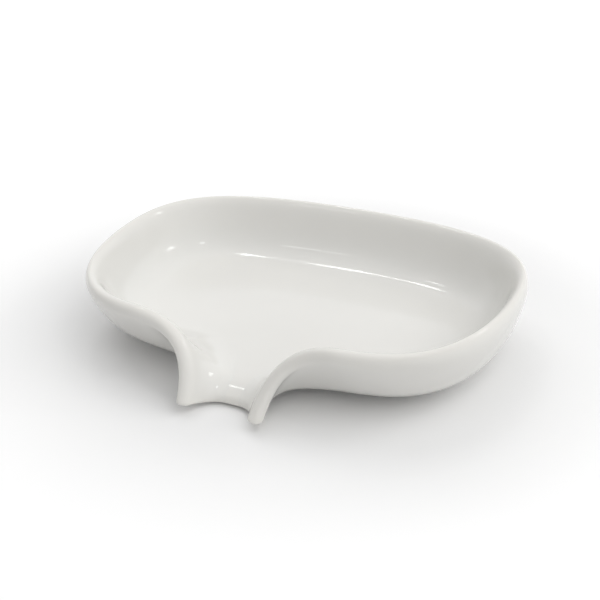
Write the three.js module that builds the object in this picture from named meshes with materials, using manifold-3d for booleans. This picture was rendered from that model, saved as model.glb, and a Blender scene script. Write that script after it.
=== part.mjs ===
// A glazed porcelain soap dish with a pouring spout, standing on four soft bumper pads.
// Millimetres, +Z up. The origin is on the table, under the middle of the dish. The spout pours towards -Y.

import * as THREE from 'three';
import Module from 'manifold-3d';

// Overall sizes
const LENGTH = 129.4; // between the two ends of the rim, along X
const DEPTH = 102.2; // from the tips of the spout to the back of the rim, along Y
const HEIGHT = 23.7; // from the table to the top of the rim

// Porcelain levels and thicknesses
const UNDERSIDE_CLEARANCE = 2.1; // table to the flat underside
const FLOOR_THICKNESS = 3.7;
const LIP_RADIUS = 2; // the rim is fully rounded
const TIP_RADIUS = 2.15; // the rim thickens a little at the spout's tips
const MOUTH_CLEARANCE = 0.6; // table to the pouring edge
const MOUTH_EDGE_RADIUS = 1.5;

// Rim outline seen from above, one half: back centre, widest point, neck, tip of the spout
const WIDEST_Y = 12.2;
const BACK_FLATNESS = 41.5; // reach of the curve's handle along the back
const END_REACH_BACK = 28.7; // reach of the handles along the ends of the dish
const END_REACH_FRONT = 31.6;
const FRONT_FLATNESS = 21.4; // reach of the handle along the front
const FRONT_SLOPE = 5; // degrees that the front slants towards the spout
const NECK_HALF_WIDTH = 30; // where the rim starts to dip into the spout
const SPOUT_REACH = 9; // from the neck forward to the centre of the tips
const NECK_REACH = 4; // handles of the dipping rim
const TIP_RISE = 15.8;
const TIP_LEAN_FORWARD = 0.74; // slants of the rim above each tip
const TIP_LEAN_INWARD = 0.06;
const TIP_HALF_SPREAD = 10.5;
const TIP_LIFT = 1.5; // the tips end this much higher than the pouring edge

// Inside walls: how far the wall's foot lies inside the centre of the rim, and its fillets
const INNER_RUN_BACK = 6.2;
const INNER_RUN_END = 5;
const INNER_RUN_FRONT = 13;
const FLOOR_FILLET = 11;
const FRONT_FILLET = 12;
const MOUTH_HALF_FLOOR = 6; // half width of the channel's floor at the pouring edge
const MOUTH_FILLET = 9;
const MOUTH_SETBACK = 6.7; // the pouring edge lies this far behind the tips
const CHANNEL_SLOPE = 36; // degrees to which the channel's floor bends down before the pouring edge
const EDGE_BEND = 1.4; // radius of the tighter bend at the pouring edge
const NECK_FLOOR_REACH = 15; // handles of the channel's floor edge
const MOUTH_FLOOR_REACH = 11.5;

// Outside walls: the same run to the virtual corner with the underside, and the roundings
const OUTER_RUN_BACK = 3.6;
const OUTER_RUN_END = 1.6;
const OUTER_RUN_FRONT = 11.4;
const BACK_ROUNDING = 11;
const END_ROUNDING = 11.5;
const FRONT_ROUNDING = 14;
const SPOUT_WALL = 3.6; // thickness of the spout's walls
const SPOUT_ROUNDING = 4.5;

// Foot ring under the dish
const FOOT_CLEARANCE = 0.6; // table to the ring's unglazed face
const FOOT_INSET = 20.8; // from the rim in to the middle of the ring, at the ends, the back and the neck
const FOOT_SQUARENESS = 2.4; // exponent of the ring's oval, 2 is an ellipse
const FOOT_WIDTH = 4.4;
const FOOT_FACE_WIDTH = 2.6;
const FOOT_ROOT = 1.2; // depth of the ring's root in the floor

// Bumper pads
const PAD_RADIUS = 4.2;
const PAD_FACE_RADIUS = 3.1;
const PAD_TO_FOOT = 1.5; // gap between a pad and the foot ring round it
const PAD_BEARING = 45; // degrees round the ring's oval at which the pads sit
const ADHESIVE_FILM = 0.2; // gap taken by the adhesive under the dish

// Fineness of the surfaces
const SPOUT_STEPS = 16;
const FRONT_STEPS = 20;
const BACK_STEPS = 16;
const FILLET_STEPS = 7;
const LIP_STEPS = 8;
const ROUNDING_STEPS = 6;
const EDGE_STEPS = 4;
const FOOT_STEPS = 64;
const PAD_STEPS = 28;

// Share of the rails at which the middle part of the floor and of the underside begins
const MIDDLE_SHARE_X = 0.45;
const MIDDLE_SHARE_Y = 0.5;
const CHANNEL_SHARE_X = 0.3;
const CHANNEL_SHARE_Y = 1;

const halfLength = LENGTH / 2 - LIP_RADIUS;
const backY = DEPTH / 2 - LIP_RADIUS;
const mouthFacing = new THREE.Vector3(0, TIP_LIFT, MOUTH_SETBACK).normalize();
const tipY = TIP_RADIUS * mouthFacing.z - DEPTH / 2;
const neckY = tipY + SPOUT_REACH;
const lipZ = HEIGHT - LIP_RADIUS;
const floorZ = UNDERSIDE_CLEARANCE + FLOOR_THICKNESS;
const mouthZ = MOUTH_CLEARANCE + MOUTH_EDGE_RADIUS;
const mouthY = tipY + MOUTH_SETBACK;
const channelSlope = THREE.MathUtils.degToRad(CHANNEL_SLOPE);
const slopeBend = (floorZ - mouthZ - EDGE_BEND * Math.cos(channelSlope)) / (1 - Math.cos(channelSlope));
const slopeY = mouthY + EDGE_BEND * (1 - Math.sin(channelSlope)) + slopeBend * Math.sin(channelSlope);
const slopeRun = slopeBend * channelSlope;
const mouthRun = slopeY - slopeRun - EDGE_BEND * (Math.PI / 2 - channelSlope);
const frontSlope = THREE.MathUtils.degToRad(FRONT_SLOPE);
const alongFront = new THREE.Vector3(Math.cos(frontSlope), Math.sin(frontSlope), 0);
const intoDish = new THREE.Vector3(-Math.sin(frontSlope), Math.cos(frontSlope), 0);
const footCentreY = (backY + neckY) / 2;
const footHalfLength = halfLength - FOOT_INSET;
const footHalfDepth = (backY - neckY) / 2 - FOOT_INSET;

const porcelain = new THREE.MeshStandardMaterial({ color: 0xeceae4, roughness: 0.12, metalness: 0 });
const silicone = new THREE.MeshStandardMaterial({ color: 0xd9d8d3, roughness: 0.55, metalness: 0 });

// Rails: three curves per half, from the spout's tip to the neck, on to the widest point, and to the back

function rail(tip, tipHandle, neck, neckReach, frontReach, widest, back, level) {
  const frontHandle = neck.clone().addScaledVector(alongFront, frontReach);
  const neckHandle = neck.clone().addScaledVector(alongFront, -neckReach);
  const widestFront = new THREE.Vector3(widest, WIDEST_Y - END_REACH_FRONT, level);
  const widestPoint = new THREE.Vector3(widest, WIDEST_Y, level);
  const widestBack = new THREE.Vector3(widest, WIDEST_Y + END_REACH_BACK * (back / backY), level);
  const backHandle = new THREE.Vector3(BACK_FLATNESS * (widest / halfLength), back, level);
  const backCentre = new THREE.Vector3(0, back, level);
  return {
    spout: new THREE.CubicBezierCurve3(tip, tipHandle, neckHandle, neck),
    front: new THREE.CubicBezierCurve3(neck, frontHandle, widestFront, widestPoint),
    back: new THREE.CubicBezierCurve3(widestPoint, widestBack, backHandle, backCentre),
  };
}

function lipRail() {
  const tip = new THREE.Vector3(TIP_HALF_SPREAD, tipY, mouthZ + TIP_LIFT);
  const lean = new THREE.Vector3(TIP_LEAN_INWARD, TIP_LEAN_FORWARD, 1);
  const tipHandle = tip.clone().addScaledVector(lean, TIP_RISE);
  const neck = new THREE.Vector3(NECK_HALF_WIDTH, neckY, lipZ);
  return rail(tip, tipHandle, neck, NECK_REACH, FRONT_FLATNESS, halfLength, backY, lipZ);
}

// The floor's and the underside's rails are drawn flat, before the channel bends down to the mouth
function flatRail(mouthX, runFront, runEnd, runBack) {
  const tip = new THREE.Vector3(mouthX, mouthRun, 0);
  const tipHandle = new THREE.Vector3(mouthX, mouthRun + MOUTH_FLOOR_REACH, 0);
  const neck = new THREE.Vector3(NECK_HALF_WIDTH, neckY, 0).addScaledVector(intoDish, runFront);
  const widest = halfLength - runEnd;
  const back = backY - runBack;
  return rail(tip, tipHandle, neck, NECK_FLOOR_REACH, FRONT_FLATNESS, widest, back, 0);
}

// A point of the floor: flat, then bent down the channel's slope and over the tighter bend at the mouth
function onFloor(x, run) {
  const past = slopeY - run;
  if (past <= 0) return new THREE.Vector3(x, run, floorZ);
  const wide = Math.min(past, slopeRun) / slopeBend;
  const tight = channelSlope + Math.max(past - slopeRun, 0) / EDGE_BEND;
  const ahead = slopeBend * Math.sin(wide) + EDGE_BEND * (Math.sin(tight) - Math.sin(channelSlope));
  const down = slopeBend * (1 - Math.cos(wide)) + EDGE_BEND * (Math.cos(channelSlope) - Math.cos(tight));
  return new THREE.Vector3(x, slopeY - ahead, floorZ - down);
}

// A point of the flat underside, which ends behind the mouth's edge
function onUnderside(x, run) {
  return new THREE.Vector3(x, Math.max(run, mouthY + SPOUT_WALL), UNDERSIDE_CLEARANCE);
}

const lip = lipRail();
const floorEdge = flatRail(MOUTH_HALF_FLOOR, INNER_RUN_FRONT, INNER_RUN_END, INNER_RUN_BACK);
const baseEdge = flatRail(MOUTH_HALF_FLOOR + SPOUT_WALL, OUTER_RUN_FRONT, OUTER_RUN_END, OUTER_RUN_BACK);

// Points along a straight stretch, without its start
function straight(from, to, steps) {
  return Array.from({ length: steps }, (_, k) => from.clone().lerp(to, (k + 1) / steps));
}

// A round corner between two straight legs: a conic that is a circle where both tangents are as long
function roundCorner(from, corner, to, radius, steps) {
  const legIn = from.clone().sub(corner);
  const legOut = to.clone().sub(corner);
  const turn = Math.PI - legIn.angleTo(legOut);
  const reach = radius * Math.tan(turn / 2);
  const start = corner.clone().addScaledVector(legIn, Math.min(reach / legIn.length(), 0.92));
  const end = corner.clone().addScaledVector(legOut, Math.min(reach / legOut.length(), 0.92));
  const weight = Math.cos(turn / 2);
  return Array.from({ length: steps + 1 }, (_, k) => {
    const t = k / steps;
    const parts = [(1 - t) ** 2, 2 * weight * t * (1 - t), t ** 2];
    const sum = parts[0] + parts[1] + parts[2];
    const point = start.clone().multiplyScalar(parts[0] / sum);
    return point.addScaledVector(corner, parts[1] / sum).addScaledVector(end, parts[2] / sum);
  });
}

// The rounded rim: an arc from the inside wall's tangent over the top to the outside wall's tangent
function lipArc(centre, out, up, radius, insideFoot, outsideFoot) {
  const seen = (foot) => {
    const leg = foot.clone().sub(centre);
    return new THREE.Vector2(leg.dot(out), leg.dot(up));
  };
  const inside = seen(insideFoot);
  const outside = seen(outsideFoot);
  const from = Math.atan2(inside.y, inside.x) - Math.acos(radius / inside.length()) + 2 * Math.PI;
  const to = Math.atan2(outside.y, outside.x) + Math.acos(radius / outside.length());
  return Array.from({ length: LIP_STEPS + 1 }, (_, k) => {
    const angle = THREE.MathUtils.lerp(from, to, k / LIP_STEPS);
    const point = centre.clone().addScaledVector(out, radius * Math.cos(angle));
    return point.addScaledVector(up, radius * Math.sin(angle));
  });
}

// How far along the spout a station lies: 0 on the tray, 1 at the tips
function spoutShare(leg, t) {
  return leg === 'spout' ? THREE.MathUtils.smoothstep(1 - t, 0, 1) : 0;
}

function insideFillet(leg, t) {
  if (leg === 'spout') return THREE.MathUtils.lerp(FRONT_FILLET, MOUTH_FILLET, spoutShare(leg, t));
  if (leg === 'front') return THREE.MathUtils.lerp(FRONT_FILLET, FLOOR_FILLET, t);
  return FLOOR_FILLET;
}

function outsideRounding(leg, t) {
  if (leg === 'spout') return THREE.MathUtils.lerp(FRONT_ROUNDING, SPOUT_ROUNDING, spoutShare(leg, t));
  if (leg === 'front') return THREE.MathUtils.lerp(FRONT_ROUNDING, END_ROUNDING, t);
  return THREE.MathUtils.lerp(END_ROUNDING, BACK_ROUNDING, t);
}

// Where a station's floor or underside stops and the middle part begins
function middlePoint(edge, leg, t, onSheet) {
  const share = leg === 'spout' ? THREE.MathUtils.smoothstep(1 - t, 0, 0.6) : 0;
  const x = edge.x * THREE.MathUtils.lerp(MIDDLE_SHARE_X, CHANNEL_SHARE_X, share);
  const run = edge.y * THREE.MathUtils.lerp(MIDDLE_SHARE_Y, CHANNEL_SHARE_Y, share);
  return onSheet(x, run);
}

// One section through the porcelain, from the middle of the floor over the rim to the middle of the underside
function section(leg, t) {
  const share = spoutShare(leg, t);
  const centre = lip[leg].getPoint(t);
  const floorPlan = floorEdge[leg].getPoint(t);
  const basePlan = baseEdge[leg].getPoint(t);
  const insideFoot = onFloor(floorPlan.x, floorPlan.y);
  const outsideFoot = onUnderside(basePlan.x, basePlan.y);
  const middle = middlePoint(floorPlan, leg, t, onFloor);
  const middleUnder = middlePoint(basePlan, leg, t, onUnderside);

  const along = lip[leg].getTangent(t).lerp(mouthFacing, share ** 2).normalize();
  const wall = centre.clone().sub(insideFoot.clone().lerp(outsideFoot, 0.5));
  const up = wall.addScaledVector(along, -wall.dot(along)).normalize();
  const out = along.clone().cross(up);

  const radius = THREE.MathUtils.lerp(LIP_RADIUS, TIP_RADIUS, share);
  const rim = lipArc(centre, out, up, radius, insideFoot, outsideFoot);
  const fillet = insideFillet(leg, t);
  const rounding = outsideRounding(leg, t);
  const inside = roundCorner(middle, insideFoot, rim[0], fillet, FILLET_STEPS);
  const outside = roundCorner(rim[LIP_STEPS], outsideFoot, middleUnder, rounding, ROUNDING_STEPS);
  return [
    middle,
    ...straight(middle, inside[0], 2).slice(0, 1),
    ...inside,
    ...straight(inside[FILLET_STEPS], rim[0], 2).slice(0, 1),
    ...rim,
    ...straight(rim[LIP_STEPS], outside[0], 2).slice(0, 1),
    ...outside,
    ...straight(outside[ROUNDING_STEPS], middleUnder, 2),
  ];
}

// The rounded edge all round the mouth: the end section shrinks as it goes down
function mouthEdge(end) {
  const last = end.length - 1;
  const inward = end.map((point, j) => {
    const before = j === 0 ? new THREE.Vector3(-point.x, point.y, point.z) : end[j - 1];
    const after = j === last ? new THREE.Vector3(-point.x, point.y, point.z) : end[j + 1];
    const run = after.clone().sub(before);
    return new THREE.Vector3(-run.y, run.x, 0).normalize();
  });
  return Array.from({ length: EDGE_STEPS }, (_, k) => {
    const angle = (k + 1) / EDGE_STEPS * Math.PI / 2;
    const shrink = MOUTH_EDGE_RADIUS * (1 - Math.cos(angle));
    const drop = MOUTH_EDGE_RADIUS * Math.sin(angle);
    return end.map((point, j) =>
      point.clone().addScaledVector(inward[j], shrink).addScaledVector(mouthFacing, -drop / mouthFacing.z));
  }).reverse();
}

// All sections of one half, from the face of the mouth to the back centre
function halfSections() {
  const steps = { spout: SPOUT_STEPS, front: FRONT_STEPS, back: BACK_STEPS };
  const sections = Object.entries(steps).flatMap(([leg, count]) =>
    Array.from({ length: count }, (_, k) => section(leg, k / count)));
  return [...mouthEdge(sections[0]), ...sections, section('back', 1)];
}

// A closed mesh from the sections of one half and their mirror images
function dishMesh() {
  const half = halfSections();
  const lastStation = half.length - 1;
  const last = half[0].length - 1;
  const width = last + 1;
  const points = half.flat();
  const mirrored = half.slice(0, lastStation).flat().map((p) => new THREE.Vector3(-p.x, p.y, p.z));
  const right = (i, j) => i * width + j;
  const left = (i, j) => (i === lastStation ? right(i, j) : points.length + i * width + j);

  const triangles = [];
  const triangle = (a, b, c) => {
    if (a !== b && b !== c && c !== a) triangles.push(a, b, c);
  };
  const quad = (a, b, c, d) => {
    triangle(a, b, c);
    triangle(a, c, d);
  };
  for (let i = 0; i < lastStation; i += 1) {
    for (let j = 0; j < last; j += 1) {
      quad(right(i, j), right(i, j + 1), right(i + 1, j + 1), right(i + 1, j));
      quad(left(i, j), left(i + 1, j), left(i + 1, j + 1), left(i, j + 1));
    }
    quad(left(i, 0), right(i, 0), right(i + 1, 0), left(i + 1, 0));
    quad(right(i, last), left(i, last), left(i + 1, last), right(i + 1, last));
  }
  for (let j = 0; j < last - j; j += 1) {
    quad(right(0, j), right(0, last - j), right(0, last - j - 1), right(0, j + 1));
    quad(left(0, j), left(0, j + 1), left(0, last - j - 1), left(0, last - j));
  }
  quad(right(0, 0), left(0, 0), left(0, last), right(0, last));
  return { points: [...points, ...mirrored], triangles };
}

// A point of the foot ring's oval, a superellipse, moved out from the middle of the ring
function onFootOval(angle, offset, z) {
  const power = (value) => Math.sign(value) * Math.abs(value) ** (2 / FOOT_SQUARENESS);
  const x = (footHalfLength + offset) * power(Math.cos(angle));
  const y = (footHalfDepth + offset) * power(Math.sin(angle));
  return new THREE.Vector3(x, footCentreY + y, z);
}

// The foot ring: a tapered section carried round the oval
function footMesh() {
  const top = UNDERSIDE_CLEARANCE + FOOT_ROOT;
  const profile = [
    [FOOT_WIDTH / 2, top],
    [FOOT_WIDTH / 2, UNDERSIDE_CLEARANCE],
    [FOOT_FACE_WIDTH / 2, FOOT_CLEARANCE],
    [-FOOT_FACE_WIDTH / 2, FOOT_CLEARANCE],
    [-FOOT_WIDTH / 2, UNDERSIDE_CLEARANCE],
    [-FOOT_WIDTH / 2, top],
  ];
  const points = [];
  const triangles = [];
  for (let i = 0; i < FOOT_STEPS; i += 1) {
    const angle = (i / FOOT_STEPS) * 2 * Math.PI;
    points.push(...profile.map(([offset, z]) => onFootOval(angle, offset, z)));
    for (let j = 0; j < profile.length; j += 1) {
      const a = i * profile.length + j;
      const b = i * profile.length + (j + 1) % profile.length;
      const next = (index) => (index + profile.length) % (FOOT_STEPS * profile.length);
      triangles.push(a, b, next(b), a, next(b), next(a));
    }
  }
  return { points, triangles };
}

const wasm = await Module();
wasm.setup();

function solid({ points, triangles }) {
  const vertProperties = new Float32Array(points.flatMap((p) => p.toArray()));
  const triVerts = new Uint32Array(triangles);
  return new wasm.Manifold(new wasm.Mesh({ numProp: 3, vertProperties, triVerts }));
}

function porcelainDish() {
  const { vertProperties, triVerts } = solid(dishMesh()).add(solid(footMesh())).getMesh();
  const geometry = new THREE.BufferGeometry();
  geometry.setAttribute('position', new THREE.BufferAttribute(vertProperties, 3));
  geometry.setIndex(new THREE.BufferAttribute(triVerts, 1));
  geometry.computeVertexNormals();
  const mesh = new THREE.Mesh(geometry, porcelain.clone());
  mesh.name = 'porcelain_dish';
  return mesh;
}

// A low bumper pad, domed at its edge and flat where it meets the table
function bumperPad(name, place) {
  const height = UNDERSIDE_CLEARANCE - ADHESIVE_FILM;
  const shoulder = new THREE.QuadraticBezierCurve(
    new THREE.Vector2(PAD_FACE_RADIUS, 0),
    new THREE.Vector2(PAD_RADIUS, 0),
    new THREE.Vector2(PAD_RADIUS, height),
  );
  const bottom = new THREE.Vector2(0, 0);
  const top = new THREE.Vector2(0, height);
  const profile = [bottom, ...shoulder.getPoints(FILLET_STEPS), top];
  const geometry = new THREE.LatheGeometry(profile, PAD_STEPS).rotateX(Math.PI / 2);
  const mesh = new THREE.Mesh(geometry, silicone.clone());
  mesh.name = name;
  mesh.position.copy(place);
  return mesh;
}

const dish = new THREE.Group();
dish.add(porcelainDish());
const padInset = -FOOT_WIDTH / 2 - PAD_TO_FOOT - PAD_RADIUS;
const bearing = THREE.MathUtils.degToRad(PAD_BEARING);
dish.add(bumperPad('bumper_pad_back_right', onFootOval(bearing, padInset, 0)));
dish.add(bumperPad('bumper_pad_back_left', onFootOval(Math.PI - bearing, padInset, 0)));
dish.add(bumperPad('bumper_pad_front_left', onFootOval(Math.PI + bearing, padInset, 0)));
dish.add(bumperPad('bumper_pad_front_right', onFootOval(-bearing, padInset, 0)));

export default dish;
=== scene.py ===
# %% [markdown]
# A soap dish of glazed porcelain: a low oval tray whose round rim dips at the front into a pouring spout.
# This file is a lesson in cells. Each step says what the piece or finish is on the real dish, how it could be
# made in Blender, and why this way was chosen. The measured part comes first and stays as a fixed frame, so
# every surface below is worked out in the same place, in millimetres, and becomes metres only as a mesh.

import bmesh
import bpy
import numpy as np
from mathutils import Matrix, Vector


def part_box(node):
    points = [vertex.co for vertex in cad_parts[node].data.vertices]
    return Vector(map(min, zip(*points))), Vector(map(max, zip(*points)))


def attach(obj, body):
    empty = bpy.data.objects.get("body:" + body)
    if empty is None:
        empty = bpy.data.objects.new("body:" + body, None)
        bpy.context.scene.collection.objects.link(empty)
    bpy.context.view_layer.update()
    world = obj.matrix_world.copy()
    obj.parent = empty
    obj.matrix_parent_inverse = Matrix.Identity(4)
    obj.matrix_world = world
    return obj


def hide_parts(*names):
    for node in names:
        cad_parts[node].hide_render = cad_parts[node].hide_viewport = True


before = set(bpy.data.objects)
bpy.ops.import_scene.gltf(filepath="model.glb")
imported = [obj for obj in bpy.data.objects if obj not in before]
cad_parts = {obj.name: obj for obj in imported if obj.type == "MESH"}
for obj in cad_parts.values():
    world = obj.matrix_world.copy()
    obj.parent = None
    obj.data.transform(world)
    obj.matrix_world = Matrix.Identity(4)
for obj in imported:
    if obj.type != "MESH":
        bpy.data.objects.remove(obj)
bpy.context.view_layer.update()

MM = 0.001
print("measured nodes:", sorted(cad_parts))

# %% [markdown]
# The rim is the line that the whole dish follows. A drawn curve object could carry it, but the floor's edge
# and the underside's edge have to keep step with it, point for point. So each line is a row of numbers: half
# of the dish is split into stations, from a tip of the spout past the neck and the widest end to the middle
# of the back, and every line is worked out at the same stations.

# %% Stations along half of the rim
SPOUT_STATIONS = 76
FRONT_STATIONS = 84
BACK_STATIONS = 60
t_spout = np.arange(SPOUT_STATIONS) / SPOUT_STATIONS
t_front = np.arange(FRONT_STATIONS) / FRONT_STATIONS
t_back = np.linspace(0, 1, BACK_STATIONS + 1)
stations = len(t_spout) + len(t_front) + len(t_back)


def smoothstep(value):
    """3 v^2 - 2 v^3 of the value held between 0 and 1: a ramp that starts and ends level."""
    held = np.clip(value, 0, 1)
    return held * held * (3 - 2 * held)


def lerp(a, b, share):
    """a where the share is 0, b where it is 1, and the straight mix between."""
    return a + (b - a) * share


def along_legs(on_spout, on_front, on_back):
    """A value at every station, given its course on the three legs."""
    return np.concatenate([on_spout + 0 * t_spout, on_front + 0 * t_front, on_back + 0 * t_back])


spout_share = along_legs(smoothstep(1 - t_spout), 0, 0)
print("stations on half of the rim:", stations)

# %% Sizes of the rim, in millimetres
LENGTH, DEPTH, HEIGHT = 130.0, 102.8, 24.0
LIP_RADIUS, TIP_RADIUS = 2.3, 2.15
WIDEST_Y = 12.2
NECK_HALF_WIDTH = 30.0
SPOUT_REACH = 9.0
TIP_HALF_SPREAD, TIP_LIFT = 10.5, 1.5
MOUTH_SETBACK = 6.7
FLOOR_Z, UNDERSIDE_Z = 5.8, 2.1
MOUTH_Z = 2.1
FRONT_SLOPE = np.radians(5)

half_length = LENGTH / 2 - LIP_RADIUS
back_y = DEPTH / 2 - LIP_RADIUS
lip_z = HEIGHT - LIP_RADIUS
mouth_facing = np.array([0, TIP_LIFT, MOUTH_SETBACK]) / np.hypot(TIP_LIFT, MOUTH_SETBACK)
tip_y = TIP_RADIUS * mouth_facing[2] - DEPTH / 2
neck_y = tip_y + SPOUT_REACH
along_front = np.array([np.cos(FRONT_SLOPE), np.sin(FRONT_SLOPE), 0])
into_dish = np.array([-np.sin(FRONT_SLOPE), np.cos(FRONT_SLOPE), 0])
print(f"tips at y {tip_y:.1f}, neck at y {neck_y:.1f}, back of the rim at y {back_y:.1f}")

# %% Smooth lines through the stations
FRONT_HANDLE, BACK_HANDLE = 21.4, 41.5
WIDEST_FRONT_HANDLE, WIDEST_BACK_HANDLE = 31.6, 28.7
TIP_HANDLE = 15.8 * np.array([0.06, 0.74, 1])
RIM_NECK_HANDLE = 4.0


def bezier(p0, p1, p2, p3, t):
    """The four points weighted by (1-t)^3, 3t(1-t)^2, 3t^2(1-t) and t^3."""
    t = t[:, None]
    return (1 - t) ** 3 * p0 + 3 * t * (1 - t) ** 2 * p1 + 3 * t**2 * (1 - t) * p2 + t**3 * p3


def eased(line, passes=24):
    """Each inner value moves to a quarter of both neighbours plus half of itself, again and again."""
    line = line.copy()
    for _ in range(passes):
        line[1:-1] = (line[:-2] + 2 * line[1:-1] + line[2:]) / 4
    return line


def rail(tip, tip_handle, neck, neck_reach, widest, back, level):
    """Three Bezier legs, tip to neck, neck to widest end and on to the back, joined into one eased line."""
    front_handle = neck + FRONT_HANDLE * along_front
    neck_handle = neck - neck_reach * along_front
    widest_front = np.array([widest, WIDEST_Y - WIDEST_FRONT_HANDLE, level])
    widest_point = np.array([widest, WIDEST_Y, level])
    widest_back = np.array([widest, WIDEST_Y + WIDEST_BACK_HANDLE * back / back_y, level])
    back_handle = np.array([BACK_HANDLE * widest / half_length, back, level])
    back_centre = np.array([0, back, level])
    return eased(np.concatenate([
        bezier(tip, tip_handle, neck_handle, neck, t_spout),
        bezier(neck, front_handle, widest_front, widest_point, t_front),
        bezier(widest_point, widest_back, back_handle, back_centre, t_back),
    ]))


tip = np.array([TIP_HALF_SPREAD, tip_y, MOUTH_Z + TIP_LIFT])
neck = np.array([NECK_HALF_WIDTH, neck_y, lip_z])
rim_line = rail(tip, tip + TIP_HANDLE, neck, RIM_NECK_HANDLE, half_length, back_y, lip_z)
print("rim's centre line from", rim_line[0].round(1), "to", rim_line[-1].round(1))

# %% [markdown]
# The floor is flat. In the spout it bends down gently, so that water runs off, and at the mouth it rolls over
# a tight edge. In Blender this could be a bevel between the floor and a front wall. Here the floor is drawn
# flat, as a sheet, and the sheet is bent round two lying cylinders, a wide one and a tight one, so the channel
# keeps its width all the way.

# %% The floor sheet and its two bends
CHANNEL_SLOPE = np.radians(36)
EDGE_BEND = 1.4
SPOUT_WALL = 3.6
MOUTH_HALF_FLOOR, MOUTH_HALF_BASE = 6.3, 9.6
FLOOR_INSETS, BASE_INSETS = (11.2, 5.0, 6.2), (11.4, 1.6, 3.6)
SHEET_MOUTH_HANDLE = np.array([0, 11.5, 0])
SHEET_NECK_HANDLE = 15.0
mouth_y = tip_y + MOUTH_SETBACK
slope_bend = (FLOOR_Z - MOUTH_Z - EDGE_BEND * np.cos(CHANNEL_SLOPE)) / (1 - np.cos(CHANNEL_SLOPE))
slope_y = mouth_y + EDGE_BEND * (1 - np.sin(CHANNEL_SLOPE)) + slope_bend * np.sin(CHANNEL_SLOPE)
slope_run = slope_bend * CHANNEL_SLOPE
mouth_run = slope_y - slope_run - EDGE_BEND * (np.pi / 2 - CHANNEL_SLOPE)


def on_floor(x, run):
    """The sheet's point (x, run). Past the start of the slope the run bends round the wide cylinder, whose
    angle is the overrun divided by its radius, and then round the tight one down to the mouth."""
    past = np.maximum(slope_y - run, 0)
    wide = np.minimum(past, slope_run) / slope_bend
    tight = np.where(past > slope_run, CHANNEL_SLOPE + (past - slope_run) / EDGE_BEND, CHANNEL_SLOPE)
    ahead = slope_bend * np.sin(wide) + EDGE_BEND * (np.sin(tight) - np.sin(CHANNEL_SLOPE))
    down = slope_bend * (1 - np.cos(wide)) + EDGE_BEND * (np.cos(CHANNEL_SLOPE) - np.cos(tight))
    return np.stack(np.broadcast_arrays(x, np.maximum(run, slope_y) - ahead, FLOOR_Z - down), -1)


def on_underside(x, run):
    """The flat underside's point (x, run), held back to the rear of the mouth's edge."""
    return np.stack(np.broadcast_arrays(x, np.maximum(run, mouth_y + SPOUT_WALL), UNDERSIDE_Z), -1)


def sheet_rail(mouth_x, insets):
    """The edge of the floor or of the underside on the flat sheet. The insets say how far inside the rim's
    centre line it lies at the front, at the ends and at the back."""
    at_front, at_end, at_back = insets
    start = np.array([mouth_x, mouth_run, 0])
    at_neck = np.array([NECK_HALF_WIDTH, neck_y, 0]) + at_front * into_dish
    handle = start + SHEET_MOUTH_HANDLE
    return rail(start, handle, at_neck, SHEET_NECK_HANDLE, half_length - at_end, back_y - at_back, 0)


floor_edge = sheet_rail(MOUTH_HALF_FLOOR, FLOOR_INSETS)
base_edge = sheet_rail(MOUTH_HALF_BASE, BASE_INSETS)
inside_foot = on_floor(floor_edge[:, 0], floor_edge[:, 1])
outside_foot = on_underside(base_edge[:, 0], base_edge[:, 1])
print(f"floor slopes off at y {slope_y:.1f} with radius {slope_bend:.1f} and ends at y {mouth_y:.1f}")

# %% [markdown]
# Cut the dish across the rim and the cut shows a flat floor, a soft fillet, a leaning wall, a fully round
# lip, an outside wall and a generous rounding underneath. A bevelled profile swept by a modifier would keep
# one shape all the way round, but here the fillets widen towards the front and the walls lean over into the
# spout. So the cut is worked out afresh at every station, all stations at once. Then it is melted, as a thick
# glaze melts an edge: the shoulders beside the lip go soft round the dish, and the spout keeps its tight bead.
# Melting draws the shape in, so the sizes above start a few tenths of a millimetre over the measured ones.

# %% Corners and lips for all stations at once
LONGEST_ROUND = 0.92


def round_corner(start, corner, end, radius, steps):
    """A conic between two legs that meet at a corner. It leaves each leg at radius x tan(turn / 2) from the
    corner, held to a share of the leg, and the corner's weight is cos(turn / 2)."""
    leg_in, leg_out = start - corner, end - corner
    long_in, long_out = np.linalg.norm(leg_in, axis=1), np.linalg.norm(leg_out, axis=1)
    turn = np.pi - np.arccos((leg_in * leg_out).sum(1) / (long_in * long_out))
    reach = radius * np.tan(turn / 2)
    first = corner + leg_in * eased(np.minimum(reach / long_in, LONGEST_ROUND))[:, None]
    last = corner + leg_out * eased(np.minimum(reach / long_out, LONGEST_ROUND))[:, None]
    t = np.linspace(0, 1, steps + 1)[None, :, None]
    weights = (1 - t) ** 2, 2 * np.cos(turn / 2)[:, None, None] * t * (1 - t), t**2
    blend = weights[0] * first[:, None] + weights[1] * corner[:, None] + weights[2] * last[:, None]
    return blend / sum(weights)


def lip_arc(centre, out, up, radius, inside, outside, share):
    """A circle's arc about the rim's centre, from where the inside wall touches it to where the outside does,
    at these shares of the way."""
    def seen(foot):
        leg = foot - centre
        return (leg * out).sum(1), (leg * up).sum(1)
    (ix, iy), (ox, oy) = seen(inside), seen(outside)
    start = np.arctan2(iy, ix) - np.arccos(radius / np.hypot(ix, iy)) + 2 * np.pi
    stop = np.arctan2(oy, ox) + np.arccos(radius / np.hypot(ox, oy))
    angle = lerp(start[:, None], stop[:, None], share)[..., None]
    arm = radius[:, None, None]
    return centre[:, None] + arm * (np.cos(angle) * out[:, None] + np.sin(angle) * up[:, None])


def between(a, b, count):
    """Points that share out the straight line from a to b, without its two ends."""
    share = np.linspace(0, 1, count + 2)[1:-1, None]
    return lerp(a[:, None], b[:, None], share)


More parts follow.
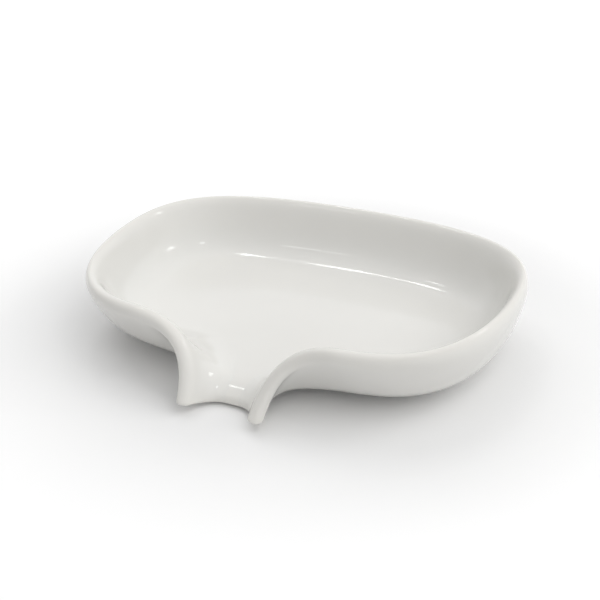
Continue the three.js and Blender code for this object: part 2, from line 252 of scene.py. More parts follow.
def melted(cut, softness, passes):
    """Each point moves towards the mean of its two neighbours in the cut, by its softness, pass after pass."""
    cut = cut.copy()
    for _ in range(passes):
        cut[:, 1:-1] += softness[:, 1:-1, None] * ((cut[:, :-2] + cut[:, 2:]) / 2 - cut[:, 1:-1])
    return cut


# %% The frame of each cut
along = np.gradient(rim_line, axis=0)
along[-1] = (-1, 0, 0)
along /= np.linalg.norm(along, axis=1)[:, None]
along = lerp(along, mouth_facing, (spout_share**2)[:, None])
along /= np.linalg.norm(along, axis=1)[:, None]
up = rim_line - (inside_foot + outside_foot) / 2
up -= (up * along).sum(1)[:, None] * along
up /= np.linalg.norm(up, axis=1)[:, None]
out = np.cross(along, up)
lip_radius = lerp(LIP_RADIUS, TIP_RADIUS, spout_share)
print("outward direction at the tip, the neck and the back:", out[[0, SPOUT_STATIONS, -1]].round(2).tolist())

# %% The cut itself, from the middle of the floor over the rim to the underside
MOUTH_FILLET, NECK_FILLET, WALL_FILLET = 8.0, 24.0, 11.0
MOUTH_ROUNDING, NECK_ROUNDING, END_ROUNDING, BACK_ROUNDING = 4.5, 14.0, 11.5, 11.0
SPINE_STEPS, FLOOR_STEPS, WALL_STEPS, OUTSIDE_STEPS = 4, 11, 7, 9
FILLET_STEPS, ROUNDING_STEPS = 18, 20
channel_share = along_legs(smoothstep((1 - t_spout) / 0.6), 0, 0)
to_mouth = smoothstep(1 - t_spout)
fillet = along_legs(
    lerp(NECK_FILLET, MOUTH_FILLET, to_mouth),
    lerp(NECK_FILLET, WALL_FILLET, smoothstep(t_front / 0.6)),
    WALL_FILLET)
rounding = along_legs(
    lerp(NECK_ROUNDING, MOUTH_ROUNDING, to_mouth),
    lerp(NECK_ROUNDING, END_ROUNDING, t_front),
    lerp(END_ROUNDING, BACK_ROUNDING, t_back))


def middle_of(edge):
    """Where, on the flat sheet, the middle part inside an edge begins: x and run well inside it."""
    return edge[:, 0] * lerp(0.45, 0.3, channel_share), edge[:, 1] * lerp(0.5, 1.0, channel_share)


middle_x, middle_run = middle_of(floor_edge)
middle, spine = on_floor(middle_x, middle_run), on_floor(0, middle_run)
middle_under = on_underside(*middle_of(base_edge))
lip_share = np.concatenate([
    np.linspace(0, 0.4, 8)[:-1], np.linspace(0.4, 0.7, 11)[:-1], np.linspace(0.7, 1, 8)])
lip = lip_arc(rim_line, out, up, lip_radius, inside_foot, outside_foot, lip_share)
inner = round_corner(middle, inside_foot, lip[:, 0], fillet, FILLET_STEPS)
outer = round_corner(lip[:, -1], outside_foot, middle_under, rounding, ROUNDING_STEPS)
sharp_cut = np.concatenate([
    spine[:, None], between(spine, middle, SPINE_STEPS), middle[:, None],
    between(middle, inner[:, 0], FLOOR_STEPS), inner,
    between(inner[:, -1], lip[:, 0], WALL_STEPS), lip,
    between(lip[:, -1], outer[:, 0], OUTSIDE_STEPS), outer,
], axis=1)
print("cut:", sharp_cut.shape[1], "points at each of", sharp_cut.shape[0], "stations")

# %% Melt the cut, and fill the outside out again
MELT_PASSES, SHOULDER_MELT, LIP_MELT, SPOUT_MELT = 64, 0.5, 0.04, 0.12
OUTSIDE_BELLY = 0.5
cut_points = np.arange(sharp_cut.shape[1])
lip_start = 2 + SPINE_STEPS + FLOOR_STEPS + inner.shape[1] + WALL_STEPS
away_from_spout = along_legs(0, smoothstep(t_front / 0.5), 1)
melt_stops = lip_start + np.array([6, 11, 14, 19])
softness = np.interp(cut_points, melt_stops, [SHOULDER_MELT, LIP_MELT, LIP_MELT, SHOULDER_MELT])
softness = softness * lerp(SPOUT_MELT, 1.0, away_from_spout)[:, None]
belly_stops = lip_start + np.array([12, 24, 36, 50])
belly = smoothstep(np.interp(cut_points, belly_stops, [0, 1, 1, 0])) * away_from_spout[:, None]
shell = melted(sharp_cut, softness, MELT_PASSES) + OUTSIDE_BELLY * belly[..., None] * out[:, None]
heights = shell[..., 2]
print("shell of one half from height", heights.min().round(2), "to", heights.max().round(2))

# %% [markdown]
# Underneath, a fired dish stands clear of the kiln shelf on a foot ring. A torus scaled to an oval would come
# close, but the real ring grows out of the underside with a soft root. So the underside is a second sheet: it
# runs in from the shell's lower edge to a superellipse, dips round the ring's section and goes on to the
# middle, with one column for every station so that both sheets share their edge exactly.

# %% The foot ring's oval
FOOT_Y = (back_y + neck_y) / 2
FOOT_INSET = 20.8
FOOT_HALF_LENGTH = half_length - FOOT_INSET
FOOT_HALF_DEPTH = (back_y - neck_y) / 2 - FOOT_INSET
FOOT_SQUARENESS = 2.4
FOOT_FACE_Z = 0.6


def foot_oval(angle, offset):
    """Superellipse: half axes plus the offset, times the cosine and the sine raised to 2 / squareness."""
    power = 2 / FOOT_SQUARENESS
    x = (FOOT_HALF_LENGTH + offset) * np.abs(np.cos(angle)) ** power
    y = (FOOT_HALF_DEPTH + offset) * np.sign(np.sin(angle)) * np.abs(np.sin(angle)) ** power
    return x, FOOT_Y + y


def foot_angle(x, y):
    """The oval's angle in the direction of a point: the inverse of the superellipse's powers."""
    power = FOOT_SQUARENESS / 2
    across = np.abs(x / FOOT_HALF_LENGTH) ** power
    deep = (y - FOOT_Y) / FOOT_HALF_DEPTH
    return np.arctan2(np.sign(deep) * np.abs(deep) ** power, across)


# %% The underside sheet with the ring
MOUTH_COLUMNS = 13
FACE_HALF_WIDTH, ROOT_HALF_WIDTH = 1.15, 2.9
KEEL_SHARE = 0.5
ring_edge = shell[:, -1]
mouth_back = lerp(ring_edge[:1] * [0, 1, 1], ring_edge[:1], np.linspace(0, 1, MOUTH_COLUMNS + 1)[:-1, None])
outline = np.concatenate([mouth_back, ring_edge])
angle = foot_angle(outline[:, 0], outline[:, 1])
flank = np.linspace(0, 1, 13)
offset = np.concatenate([
    lerp(ROOT_HALF_WIDTH, FACE_HALF_WIDTH, flank),
    lerp(FACE_HALF_WIDTH, -FACE_HALF_WIDTH, np.linspace(0, 1, 6)[1:-1]),
    lerp(-FACE_HALF_WIDTH, -ROOT_HALF_WIDTH, flank)])
dip = np.concatenate([smoothstep(flank), np.ones(4), smoothstep(1 - flank)])
ring_x, ring_y = foot_oval(angle[:, None], offset[None])
ring_z = np.broadcast_to(lerp(UNDERSIDE_Z, FOOT_FACE_Z, dip), ring_x.shape)
ring = np.stack([ring_x, ring_y, ring_z], -1)
keel_y = FOOT_Y + KEEL_SHARE * FOOT_HALF_DEPTH * angle / (np.pi / 2)
keel = np.stack([0 * angle, keel_y, 0 * angle + UNDERSIDE_Z], -1)
underside = np.concatenate([
    outline[:, None], between(outline, ring[:, 0], 9), ring,
    between(ring[:, -1], keel, 8), keel[:, None],
], axis=1)
print("underside of one half:", underside.shape[:2], "points, ring face at", ring_z.min().round(2))

# %% [markdown]
# The mouth is the cut end of the spout, a thin U that looks down at the table, with its edge rounded by the
# glaze. A bevel modifier could round it, but only after the mesh is joined. Here the end cut is repeated as
# a stack of rings that draw in along a quarter circle as they go down. A strip between the two long sides of
# the last ring closes the end, because a fill from corner to corner would bridge the U.

# %% The rounded edge of the mouth
MOUTH_EDGE_RADIUS, TIP_EDGE_RADIUS, TIP_EDGE_DROP = 1.5, 1.7, 1.2
end_loop = np.concatenate([shell[0], mouth_back[::-1]])
mirror = np.array([-1, 1, 1])
padded_loop = np.concatenate([end_loop[1:2] * mirror, end_loop, end_loop[-2:-1] * mirror])
run = padded_loop[2:] - padded_loop[:-2]
inward = np.stack([-run[:, 1], run[:, 0], 0 * run[:, 0]], -1) / np.hypot(run[:, 0], run[:, 1])[:, None]
from_tip = np.linalg.norm(end_loop - rim_line[0], axis=1)
past_tip = smoothstep((from_tip - TIP_RADIUS) / 3)[:, None]
edge_radius = lerp(TIP_EDGE_RADIUS, MOUTH_EDGE_RADIUS, past_tip)
edge_drop = lerp(TIP_EDGE_DROP, MOUTH_EDGE_RADIUS, past_tip)
edge_angle = np.linspace(0, np.pi / 2, 12)[:, None, None]
mouth = end_loop + inward * edge_radius * (1 - np.cos(edge_angle))
mouth = mouth - mouth_facing / mouth_facing[2] * edge_drop * np.sin(edge_angle)
tip_index = len(end_loop) // 2
channel_side, outer_side = mouth[-1, :tip_index + 1], mouth[-1, :tip_index - 1:-1]
mouth_face = lerp(channel_side, outer_side, np.linspace(0, 1, 5)[:, None, None])
print("mouth edge:", mouth.shape[:2], "points, lowest", mouth[..., 2].min().round(2))

# %% [markdown]
# Four sheets make one half, and a mirrored copy makes the other. Blender's Mirror modifier could do this, but
# the half is already an array, so changing the sign of x is enough. The doubles along the shared edges are
# merged, the normals are turned outwards, and a few passes of smoothing melt the joints between the sheets,
# as a thick glaze does.

# %% Sheets to mesh
MERGE_DISTANCE, SLIVER_WIDTH = 1e-7, 1e-8


def sheet_faces(rows, columns, first):
    """Four corners for every cell of a grid of points that is stored row by row from index first on."""
    index = first + np.arange(rows * columns).reshape(rows, columns)
    return np.stack([index[:-1, :-1], index[:-1, 1:], index[1:, 1:], index[1:, :-1]], -1).reshape(-1, 4)


def joined(sheets):
    """All sheets as one list of points in metres and one list of cells."""
    points = np.concatenate([sheet.reshape(-1, 3) for sheet in sheets]) * MM
    starts = np.cumsum([0] + [sheet.shape[0] * sheet.shape[1] for sheet in sheets[:-1]])
    cells = [sheet_faces(sheet.shape[0], sheet.shape[1], start) for sheet, start in zip(sheets, starts)]
    return points, np.concatenate(cells)


def closed_mesh(name, points, cells, smoothing=0):
    """A mesh with merged doubles, outward normals and smooth shading."""
    mesh = bpy.data.meshes.new(name)
    mesh.from_pydata(points, [], cells)
    bm = bmesh.new()
    bm.from_mesh(mesh)
    bmesh.ops.remove_doubles(bm, verts=bm.verts, dist=MERGE_DISTANCE)
    bmesh.ops.dissolve_degenerate(bm, edges=bm.edges, dist=SLIVER_WIDTH)
    for _ in range(smoothing):
        bmesh.ops.smooth_vert(
            bm, verts=bm.verts, factor=0.5, use_axis_x=True, use_axis_y=True, use_axis_z=True)
    bmesh.ops.recalc_face_normals(bm, faces=bm.faces)
    open_edges = sum(not e.is_manifold for e in bm.edges)
    bm.to_mesh(mesh)
    bm.free()
    mesh.polygons.foreach_set("use_smooth", np.ones(len(mesh.polygons), bool))
    triangles = sum(len(p.vertices) - 2 for p in mesh.polygons)
    print(name, "has", triangles, "triangles and", open_edges, "open edges")
    return mesh


# %% The dish as one closed piece
half_points, half_cells = joined([shell, underside, mouth, mouth_face])
dish_points = np.concatenate([half_points, half_points * mirror])
dish_cells = np.concatenate([half_cells, half_cells[:, ::-1] + len(half_points)])
dish_mesh = closed_mesh("glazed_dish", dish_points, dish_cells, smoothing=4)
dish = bpy.data.objects.new("glazed_dish", dish_mesh)
bpy.context.scene.collection.objects.link(dish)
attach(dish, "root")
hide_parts("porcelain_dish")

# %% [markdown]
# Four soft bumpers are stuck inside the foot ring, so that the dish neither slides nor scratches. A squashed
# sphere would be the quick way. The real thing is a low dome with a flat face, a round shoulder and a film of
# adhesive on its back, so a profile of that shape is turned round each pad's own axis, which comes from the
# measured part.

# %% Turned bumper pads
PAD_RADIUS, PAD_FACE_RADIUS = 4.2, 3.1
PAD_SHOULDER_Z, PAD_EDGE = 1.7, 0.2
FACE_R, FACE_Z = [0, 1.2, 2.2, 2.9, PAD_FACE_RADIUS], [0.08, 0.06, 0.02, 0, 0]
FILM_R, FILM_Z = [3.75, 3.7, 3.7, 2.0, 0], [1.9, 1.92, 2.07, 2.08, 2.08]


def pad_profile():
    """Radius and height from the middle of the slightly hollow face, round the shoulder and the film, to the
    back. The shoulder is a parabola and the edge behind it a quarter circle."""
    t = np.linspace(0, 1, 13)[1:]
    shoulder_r = (1 - t) ** 2 * PAD_FACE_RADIUS + 2 * t * (1 - t) * PAD_RADIUS + t**2 * PAD_RADIUS
    shoulder_z = t**2 * PAD_SHOULDER_Z
    turn = np.linspace(0, np.pi / 2, 5)[1:]
    edge_r = PAD_RADIUS - PAD_EDGE + PAD_EDGE * np.cos(turn)
    edge_z = PAD_SHOULDER_Z + PAD_EDGE * np.sin(turn)
    r = np.concatenate([FACE_R, shoulder_r, edge_r, FILM_R])
    z = np.concatenate([FACE_Z, shoulder_z, edge_z, FILM_Z])
    return r, z


def turned(profile, x, y, steps=56):
    """The profile turned round an upright axis through (x, y): r cos(angle), r sin(angle), z."""
    r, z = profile
    angle = np.linspace(0, 2 * np.pi, steps + 1)[:, None]
    return np.stack(np.broadcast_arrays(x + r * np.cos(angle), y + r * np.sin(angle), z), -1)


pads = []
for name in sorted(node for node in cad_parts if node.startswith("bumper_pad")):
    low, high = (np.array(corner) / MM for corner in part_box(name))
    place = (low + high) / 2
    mesh = closed_mesh("soft_" + name, *joined([turned(pad_profile(), place[0], place[1])]))
    pad = bpy.data.objects.new("soft_" + name, mesh)
    bpy.context.scene.collection.objects.link(pad)
    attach(pad, "root")
    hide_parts(name)
    pads.append(pad)
    print(pad.name, "at", place[:2].round(1))

# %% [markdown]
# A glaze is a liquid while it fires: it runs thin over sharp edges and pools in hollows. Blender can paint that
# by hand or read it from pointiness, but pointiness depends on the renderer. Here the bend of the surface is
# measured once on the finished mesh and stored as an attribute, which any material can read. The glaze uses it
# partly for the real tint of a thin or deep coat and partly as painted light: the edges are painted lighter and
# the hollows darker, as painted shade.

# %% Measure where the glaze pools, which also places painted light on edges and painted shade in hollows
STEEPEST_BEND, SPREAD = 0.5, 0.6
# HOLLOW_GAIN sets how much darker the hollows are painted, EDGE_GAIN how much lighter the edges.
HOLLOW_GAIN, EDGE_GAIN = 4.0, 1.6


def gathered(values, edges, count):
    """The mean, at every point, of the values that its edges carry."""
    total = np.bincount(edges[:, 0], values[0], count) + np.bincount(edges[:, 1], values[1], count)
    return total / np.bincount(edges.ravel(), minlength=count)


def pooling_and_painted_shade(mesh, passes=30):
    """Bend = 2 (step . normal) / step^2 averaged over a point's edges, spread to the neighbours by repeated
    averaging. 0 is a thin edge, 0.5 is flat and 1 is a deep hollow. The glaze paints edges lighter and hollows
    darker with it, partly as the coat's real tint and partly as painted light and painted shade."""
    count = len(mesh.vertices)
    points, normals = np.empty(count * 3), np.empty(count * 3)
    edges = np.empty(len(mesh.edges) * 2, int)
    mesh.vertices.foreach_get("co", points)
    mesh.vertex_normals.foreach_get("vector", normals)
    mesh.edges.foreach_get("vertices", edges)
    points, normals, edges = points.reshape(-1, 3), normals.reshape(-1, 3), edges.reshape(-1, 2)
    step = points[edges[:, 1]] - points[edges[:, 0]]
    square = (step**2).sum(1)
    bend_there = 2 * (step * normals[edges[:, 0]]).sum(1) / square
    bend_back = -2 * (step * normals[edges[:, 1]]).sum(1) / square
    bend = gathered((bend_there, bend_back), edges, count) * MM
    bend = np.clip(bend, -STEEPEST_BEND, STEEPEST_BEND)
    for _ in range(passes):
        around = gathered((bend[edges[:, 1]], bend[edges[:, 0]]), edges, count)
        bend = lerp(bend, around, SPREAD)
    return np.clip(0.5 + np.where(bend > 0, HOLLOW_GAIN, EDGE_GAIN) * bend, 0, 1)


# Stored as an attribute that sets the glaze's tint, with painted light on edges and painted shade in hollows.
depth = pooling_and_painted_shade(dish_mesh)
dish_mesh.attributes.new("pooling_and_painted_shade", "FLOAT", "POINT").data.foreach_set("value", depth)
print("glaze depth from", depth.min().round(2), "to", depth.max().round(2), "mean", depth.mean().round(2))

# %% [markdown]
# Glaze, bare clay and rubber all show a slow drift of tone and a fine unevenness, each in its own measure. Two
# node groups hold those effects once, and every material places them with its own values. They read object
# coordinates, so the pattern stays on the dish when it turns.

# %% Shared effects: kiln drift and surface ripple


def node(tree, kind, x, y, **settings):
    """A node at a place in the tree, with some of its settings."""
    made = tree.nodes.new(kind)
    made.location = (x, y)
    for key, value in settings.items():
        setattr(made, key, value)
    return made


def new_group(name, inputs, outputs):
    """An empty shader node group with its named sockets, and its two end nodes."""
    tree = bpy.data.node_groups.new(name, "ShaderNodeTree")
    for label, kind, value in inputs:
        socket = tree.interface.new_socket(label, in_out="INPUT", socket_type=kind)
        socket.default_value = value
    for label, kind in outputs:
        tree.interface.new_socket(label, in_out="OUTPUT", socket_type=kind)
    return tree, node(tree, "NodeGroupInput", -900, 0), node(tree, "NodeGroupOutput", 500, 0)


def kiln_drift_group():
    """Two colours mixed by broad clouds: the slow drift of tone that the kiln leaves."""
    tree, take, give = new_group("kiln_drift", [
        ("Tone", "NodeSocketColor", (0.8, 0.8, 0.8, 1)),
        ("Far Tone", "NodeSocketColor", (0.75, 0.75, 0.75, 1)),
        ("Cloud Scale", "NodeSocketFloat", 30.0),
    ], [("Color", "NodeSocketColor"), ("Cloud", "NodeSocketFloat")])
    place = node(tree, "ShaderNodeTexCoord", -900, -250)
    cloud = node(tree, "ShaderNodeTexNoise", -600, -100)
    cloud.inputs["Detail"].default_value = 3.0
    cloud.inputs["Roughness"].default_value = 0.45
    spread = node(tree, "ShaderNodeMapRange", -350, -100)
    spread.inputs["From Min"].default_value = 0.35
    spread.inputs["From Max"].default_value = 0.65
    mix = node(tree, "ShaderNodeMix", 0, 0, data_type="RGBA")
    tree.links.new(place.outputs["Object"], cloud.inputs["Vector"])
    tree.links.new(take.outputs["Cloud Scale"], cloud.inputs["Scale"])
    tree.links.new(cloud.outputs["Fac"], spread.inputs["Value"])
    tree.links.new(spread.outputs["Result"], mix.inputs["Factor"])
    tree.links.new(take.outputs["Tone"], mix.inputs[6])
    tree.links.new(take.outputs["Far Tone"], mix.inputs[7])
    tree.links.new(mix.outputs[2], give.inputs["Color"])
    tree.links.new(spread.outputs["Result"], give.inputs["Cloud"])
    return tree


def surface_ripple_group():
    """A height from two noises, a long swell and a fine grain, each with its own size and share."""
    tree, take, give = new_group("surface_ripple", [
        ("Swell Scale", "NodeSocketFloat", 90.0),
        ("Grain Scale", "NodeSocketFloat", 900.0),
        ("Grain Share", "NodeSocketFloat", 0.1),
    ], [("Height", "NodeSocketFloat")])
    place = node(tree, "ShaderNodeTexCoord", -900, -250)
    swell = node(tree, "ShaderNodeTexNoise", -600, 100)
    swell.inputs["Detail"].default_value = 1.0
    grain = node(tree, "ShaderNodeTexNoise", -600, -200)
    grain.inputs["Detail"].default_value = 2.0
    sum_up = node(tree, "ShaderNodeMath", -100, 0, operation="MULTIPLY_ADD")
    tree.links.new(place.outputs["Object"], swell.inputs["Vector"])
    tree.links.new(place.outputs["Object"], grain.inputs["Vector"])
    tree.links.new(take.outputs["Swell Scale"], swell.inputs["Scale"])
    tree.links.new(take.outputs["Grain Scale"], grain.inputs["Scale"])
    tree.links.new(grain.outputs["Fac"], sum_up.inputs[0])
    tree.links.new(take.outputs["Grain Share"], sum_up.inputs[1])
    tree.links.new(swell.outputs["Fac"], sum_up.inputs[2])
    tree.links.new(sum_up.outputs[0], give.inputs["Height"])
    return tree


kiln_drift = kiln_drift_group()
surface_ripple = surface_ripple_group()
print("shared groups:", kiln_drift.name, surface_ripple.name)

# %% A material that both effects feed


def fired_material(name, tone, far_tone, cloud_scale, swell, grain, grain_share, bump_height, roughness):
    """A principled surface with drifting tone, rippled normal, and roughness that follows the clouds."""
    material = bpy.data.materials.new(name)
    material.use_nodes = True
    tree = material.node_tree
    shader = tree.nodes["Principled BSDF"]
    drift = node(tree, "ShaderNodeGroup", -900, 200, node_tree=kiln_drift)
    drift.inputs["Tone"].default_value = (*tone, 1)
    drift.inputs["Far Tone"].default_value = (*far_tone, 1)
    drift.inputs["Cloud Scale"].default_value = cloud_scale
    ripple = node(tree, "ShaderNodeGroup", -900, -250, node_tree=surface_ripple)
    ripple.inputs["Swell Scale"].default_value = swell
    ripple.inputs["Grain Scale"].default_value = grain
    ripple.inputs["Grain Share"].default_value = grain_share
    bump = node(tree, "ShaderNodeBump", -300, -250)
    bump.inputs["Distance"].default_value = bump_height
    rough = node(tree, "ShaderNodeMapRange", -300, 0)
    rough.inputs["To Min"].default_value = roughness[0]
    rough.inputs["To Max"].default_value = roughness[1]
    tree.links.new(drift.outputs["Color"], shader.inputs["Base Color"])
    tree.links.new(drift.outputs["Cloud"], rough.inputs["Value"])
    tree.links.new(rough.outputs["Result"], shader.inputs["Roughness"])
    tree.links.new(ripple.outputs["Height"], bump.inputs["Height"])
    tree.links.new(bump.outputs["Normal"], shader.inputs["Normal"])
    return material, tree, shader, drift


# %% [markdown]
# The glaze is a thin coat of clear glass over white clay. One glossy principled surface gives that look. Its
# tone shifts with the bend of the surface: lighter and creamier on the edges, darker and cooler in the hollows.
# That is partly the real depth of the coat and partly painted light on the edges and painted shade in the
# hollows.

# %% Glazed porcelain
GLAZE_TONE, GLAZE_FAR_TONE = (0.875, 0.866, 0.834), (0.855, 0.846, 0.814)
glaze, glaze_tree, glaze_shader, glaze_drift = fired_material(
    "glazed_porcelain", GLAZE_TONE, GLAZE_FAR_TONE, cloud_scale=28.0, swell=75.0, grain=420.0,
    grain_share=0.04, bump_height=0.00004, roughness=(0.06, 0.1))
glaze_shader.inputs["IOR"].default_value = 1.5
read_pooling_and_shade = node(glaze_tree, "ShaderNodeAttribute", -900, 500, attribute_name="pooling_and_painted_shade")
# The ramp's edge stop is painted light and its deep stop painted shade, besides the coat's creamy and cool
# tints.
tint_and_painted_shade_ramp = node(glaze_tree, "ShaderNodeValToRGB", -650, 500)
tint_and_painted_shade_ramp.color_ramp.elements[0].color = (1, 0.993, 0.978, 1)
tint_and_painted_shade_ramp.color_ramp.elements[1].color = (0.945, 0.955, 0.958, 1)
middle_stop = tint_and_painted_shade_ramp.color_ramp.elements.new(0.5)
middle_stop.color = (0.97, 0.97, 0.97, 1)
shade = node(glaze_tree, "ShaderNodeMix", -300, 300, data_type="RGBA", blend_type="MULTIPLY")
shade.inputs["Factor"].default_value = 1.0
glaze_tree.links.new(read_pooling_and_shade.outputs["Fac"], tint_and_painted_shade_ramp.inputs["Fac"])
glaze_tree.links.new(glaze_drift.outputs["Color"], shade.inputs[6])
glaze_tree.links.new(tint_and_painted_shade_ramp.outputs["Color"], shade.inputs[7])
glaze_tree.links.new(shade.outputs[2], glaze_shader.inputs["Base Color"])
dish_mesh.materials.append(glaze)
print("glaze tones", GLAZE_TONE, GLAZE_FAR_TONE)

# %% [markdown]
# The face of the foot ring is wiped clean before firing, or the dish would stick to the kiln shelf. The bare
# clay there is matt, a little grey and finely grained. It is the same casting, so it is a second material on
# the same mesh, given to the faces that lie on the ring's face.

# %% Bare clay on the face of the foot ring
BARE_HEIGHT, BARE_HALF_WIDTH = 0.12, 2.2
bare_clay, _, _, _ = fired_material(
    "bare_clay", (0.74, 0.72, 0.68), (0.62, 0.6, 0.56), cloud_scale=220.0, swell=700.0, grain=4200.0,
    grain_share=0.8, bump_height=0.00012, roughness=(0.62, 0.85))
dish_mesh.materials.append(bare_clay)
centres = np.empty(len(dish_mesh.polygons) * 3)
dish_mesh.polygons.foreach_get("center", centres)
centres = centres.reshape(-1, 3) / MM
ring_way = foot_angle(centres[:, 0], centres[:, 1])
near_x, near_y = foot_oval(ring_way, 0)
off_ring = np.hypot(np.abs(centres[:, 0]) - near_x, centres[:, 1] - near_y)
bare = (centres[:, 2] < FOOT_FACE_Z + BARE_HEIGHT) & (off_ring < BARE_HALF_WIDTH)
dish_mesh.polygons.foreach_set("material_index", bare.astype(np.int32))
print("bare faces on the ring:", int(bare.sum()))

# %% [markdown]
# The pads are a milky silicone, satin rather than glossy, with a little dust in the grain. The same effects
# serve with other values, and a touch of light passing under the skin makes them look soft.

# %% Milky silicone
silicone, _, silicone_shader, _ = fired_material(
    "milky_silicone", (0.7, 0.69, 0.66), (0.63, 0.62, 0.58), cloud_scale=260.0, swell=500.0, grain=3000.0,
    grain_share=0.5, bump_height=0.00005, roughness=(0.34, 0.5))
silicone_shader.inputs["Subsurface Weight"].default_value = 0.25
silicone_shader.inputs["Subsurface Scale"].default_value = 0.002
for pad in pads:
    pad.data.materials.append(silicone)
print("silicone on", len(pads), "pads")

# %% [markdown]
# The dish stands on a plain white sweep. A floor that is bright enough to be white would need strong lamps, and
# those would burn out the glaze. So the floor is a pale matt plane at a plain level of light, plus a small glow
# that only the camera and mirror-like rays see. The glow is weak under and near the dish and grows with the
# distance until the floor is as white as the room, so a soft oval of painted shadow lies round the dish, on top
# of the shadow that the lamps cast.

# %% Floor
HALF_FLOOR = 3.0
floor_mesh = bpy.data.meshes.new("white_floor")
floor_corners = HALF_FLOOR * np.array([[-1, -1, 0], [1, -1, 0], [1, 1, 0], [-1, 1, 0]])
floor_mesh.from_pydata(floor_corners, [], [(0, 1, 2, 3)])
floor = bpy.data.objects.new("white_floor", floor_mesh)
bpy.context.scene.collection.objects.link(floor)


def seen_ray(tree, x, y):
    """1 for rays from the camera or by way of a mirror or glass, 0 for all other light."""
    path = node(tree, "ShaderNodeLightPath", x, y)
    either = node(tree, "ShaderNodeMath", x + 200, y, operation="MAXIMUM")
    glassy = node(tree, "ShaderNodeMath", x + 400, y, operation="MAXIMUM")
    tree.links.new(path.outputs["Is Camera Ray"], either.inputs[0])
    tree.links.new(path.outputs["Is Glossy Ray"], either.inputs[1])
    tree.links.new(either.outputs[0], glassy.inputs[0])
    tree.links.new(path.outputs["Is Transmission Ray"], glassy.inputs[1])
    return glassy.outputs[0]


# These stops shape the painted shadow: NEAR_GLOW within GLOW_FROM of the oval's middle, rising to FAR_GLOW at
# GLOW_TO.
GLOW_FROM, GLOW_TO = 0.06, 0.127
NEAR_GLOW, FAR_GLOW = 0.04, 0.22
GLOW_STRETCH, GLOW_X, GLOW_Y = 1.035, 0.0026, 0.018
HORIZON_FROM, HORIZON_TO, HORIZON_GLOW = 0.15, 0.7, 0.45
white_floor = bpy.data.materials.new("white_floor")
white_floor.use_nodes = True
floor_tree = white_floor.node_tree
matt = floor_tree.nodes["Principled BSDF"]
matt.inputs["Base Color"].default_value = (0.9, 0.9, 0.9, 1)
matt.inputs["Roughness"].default_value = 1.0
matt.inputs["Specular IOR Level"].default_value = 0.0
matt.inputs["Emission Color"].default_value = (1, 1, 1, 1)
spot = node(floor_tree, "ShaderNodeTexCoord", -1300, -600)
oval = node(floor_tree, "ShaderNodeMapping", -1100, -600)
oval.inputs["Scale"].default_value = (1 / GLOW_STRETCH, 1, 1)
oval.inputs["Location"].default_value = (-GLOW_X, -GLOW_Y, 0)
far = node(floor_tree, "ShaderNodeVectorMath", -900, -600, operation="LENGTH")
painted_shadow_fade = node(floor_tree, "ShaderNodeMapRange", -700, -600, interpolation_type="SMOOTHSTEP")
painted_shadow_fade.inputs["From Min"].default_value, painted_shadow_fade.inputs["From Max"].default_value = GLOW_FROM, GLOW_TO
painted_shadow_fade.inputs["To Min"].default_value, painted_shadow_fade.inputs["To Max"].default_value = NEAR_GLOW, FAR_GLOW
horizon = node(floor_tree, "ShaderNodeMapRange", -700, -850, interpolation_type="SMOOTHSTEP")
horizon.inputs["From Min"].default_value, horizon.inputs["From Max"].default_value = HORIZON_FROM, HORIZON_TO
horizon.inputs["To Max"].default_value = HORIZON_GLOW
both = node(floor_tree, "ShaderNodeMath", -450, -600, operation="ADD")
glow = node(floor_tree, "ShaderNodeMath", -200, -300, operation="MULTIPLY")
floor_tree.links.new(spot.outputs["Object"], oval.inputs["Vector"])
floor_tree.links.new(oval.outputs["Vector"], far.inputs[0])
floor_tree.links.new(far.outputs["Value"], painted_shadow_fade.inputs["Value"])
floor_tree.links.new(seen_ray(floor_tree, -900, -300), glow.inputs[0])
floor_tree.links.new(far.outputs["Value"], horizon.inputs["Value"])
floor_tree.links.new(painted_shadow_fade.outputs["Result"], both.inputs[0])
floor_tree.links.new(horizon.outputs["Result"], both.inputs[1])
floor_tree.links.new(both.outputs[0], glow.inputs[1])
floor_tree.links.new(glow.outputs[0], matt.inputs["Emission Strength"])
floor_mesh.materials.append(white_floor)
print("floor", 2 * HALF_FLOOR, "m wide")

# %% [markdown]
# The light is that of a small photo studio with white surroundings. The world gives those: it is pure white
# where the camera or a mirror sees it, and dimmer as a source of light, so the shadow stays. Four broad area
# lamps light the dish, most from the right, some from the back on the left. Their size makes the shadow soft,
# but as reflections they would lie on the glaze as large panes, so they are hidden from mirror rays. Five
# small lamps draw the short bright lines and specks instead, each in the direction that its highlight needs.

# %% World
ROOM_LEVEL = 0.355
world = bpy.data.worlds.new("white_room")
bpy.context.scene.world = world
world.use_nodes = True
room = world.node_tree.nodes["Background"]
room.inputs["Color"].default_value = (1, 1, 1, 1)
level = node(world.node_tree, "ShaderNodeMix", -200, 0)
level.inputs[2].default_value = ROOM_LEVEL
level.inputs[3].default_value = 1.0
world.node_tree.links.new(seen_ray(world.node_tree, -900, 0), level.inputs[0])
world.node_tree.links.new(level.outputs[0], room.inputs["Strength"])
print("room seen at 1.0, as a source of light at", ROOM_LEVEL)

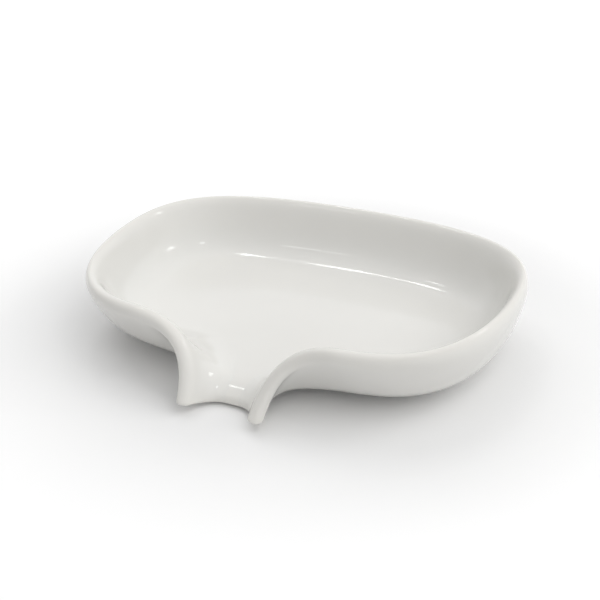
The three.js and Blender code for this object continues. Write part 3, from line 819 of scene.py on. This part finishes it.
# %% Broad lamps and highlight lamps: place and size in metres, power in watts
BROAD_LAMPS = [
    ("right_window", (0.66, -0.06, 0.83), 1.2, 1.0, 4.7),
    ("low_window", (0.9, 0.3, 0.45), 0.8, 0.6, 0.7),
    ("top_panel", (0, -0.1, 1.1), 1.0, 1.0, 1.2),
    ("back_window", (-0.45, 0.5, 0.85), 1.0, 0.9, 2.6),
]
HIGHLIGHT_LAMPS = [
    ("back_strip", (-0.33, 0.44, 0.9), 0.05, 0.12, 0.2),
    ("front_strip", (-0.33, -0.5, 0.95), 0.07, 0.05, 0.08),
    ("left_strip", (-0.4, 0.1, 0.92), 0.07, 0.08, 0.12),
    ("right_strip", (0.47, -0.08, 0.9), 0.1, 0.1, 0.2),
    ("corner_strip", (0.66, 0.55, 0.56), 0.16, 0.16, 0.4),
]


def soft_lamp(name, place, width, height, watts, mirrored):
    """An area light at a place that looks at the dish: its -Z axis runs along the line between them. Where it
    isn't mirrored, it lights the dish without drawing its own outline in the glaze."""
    lamp = bpy.data.lights.new(name, "AREA")
    lamp.shape = "RECTANGLE"
    lamp.size, lamp.size_y, lamp.energy = width, height, watts
    lit = bpy.data.objects.new(name, lamp)
    bpy.context.scene.collection.objects.link(lit)
    lit.location = place
    lit.rotation_euler = (-Vector(place)).to_track_quat("-Z", "Y").to_euler()
    lit.visible_glossy = mirrored
    print(name, "at", place, watts, "W")


for lamp_row in BROAD_LAMPS:
    soft_lamp(*lamp_row, mirrored=False)
for lamp_row in HIGHLIGHT_LAMPS:
    soft_lamp(*lamp_row, mirrored=True)

# %% [markdown]
# The camera stands where the photograph was taken from: in front of the dish, a little to the right and above.
# Its place was worked out from the rim, whose two halves mirror each other. Depth of field stays off.

# %% Camera
CAMERA_PLACE = (0.1021, -0.2280, 0.1409)
LOOKS_DOWN, TURNED_LEFT = 27.185, 23.883
SENSOR_WIDTH, LENS = 36.0, 56.39
view = bpy.data.cameras.new("front_view")
view.sensor_width, view.lens = SENSOR_WIDTH, LENS
camera = bpy.data.objects.new("front_view", view)
bpy.context.scene.collection.objects.link(camera)
camera.location = CAMERA_PLACE
camera.rotation_euler = np.radians([90 - LOOKS_DOWN, 0, TURNED_LEFT])
bpy.context.scene.camera = camera
bpy.context.scene.view_settings.view_transform = "Standard"
print("camera", tuple(round(c, 4) for c in camera.location), "lens", view.lens)

# %% [markdown]
# Last, the scene is brought up to date. The surfaces may be smoother than the measured solid.

# %% Finish
bpy.context.view_layer.update()
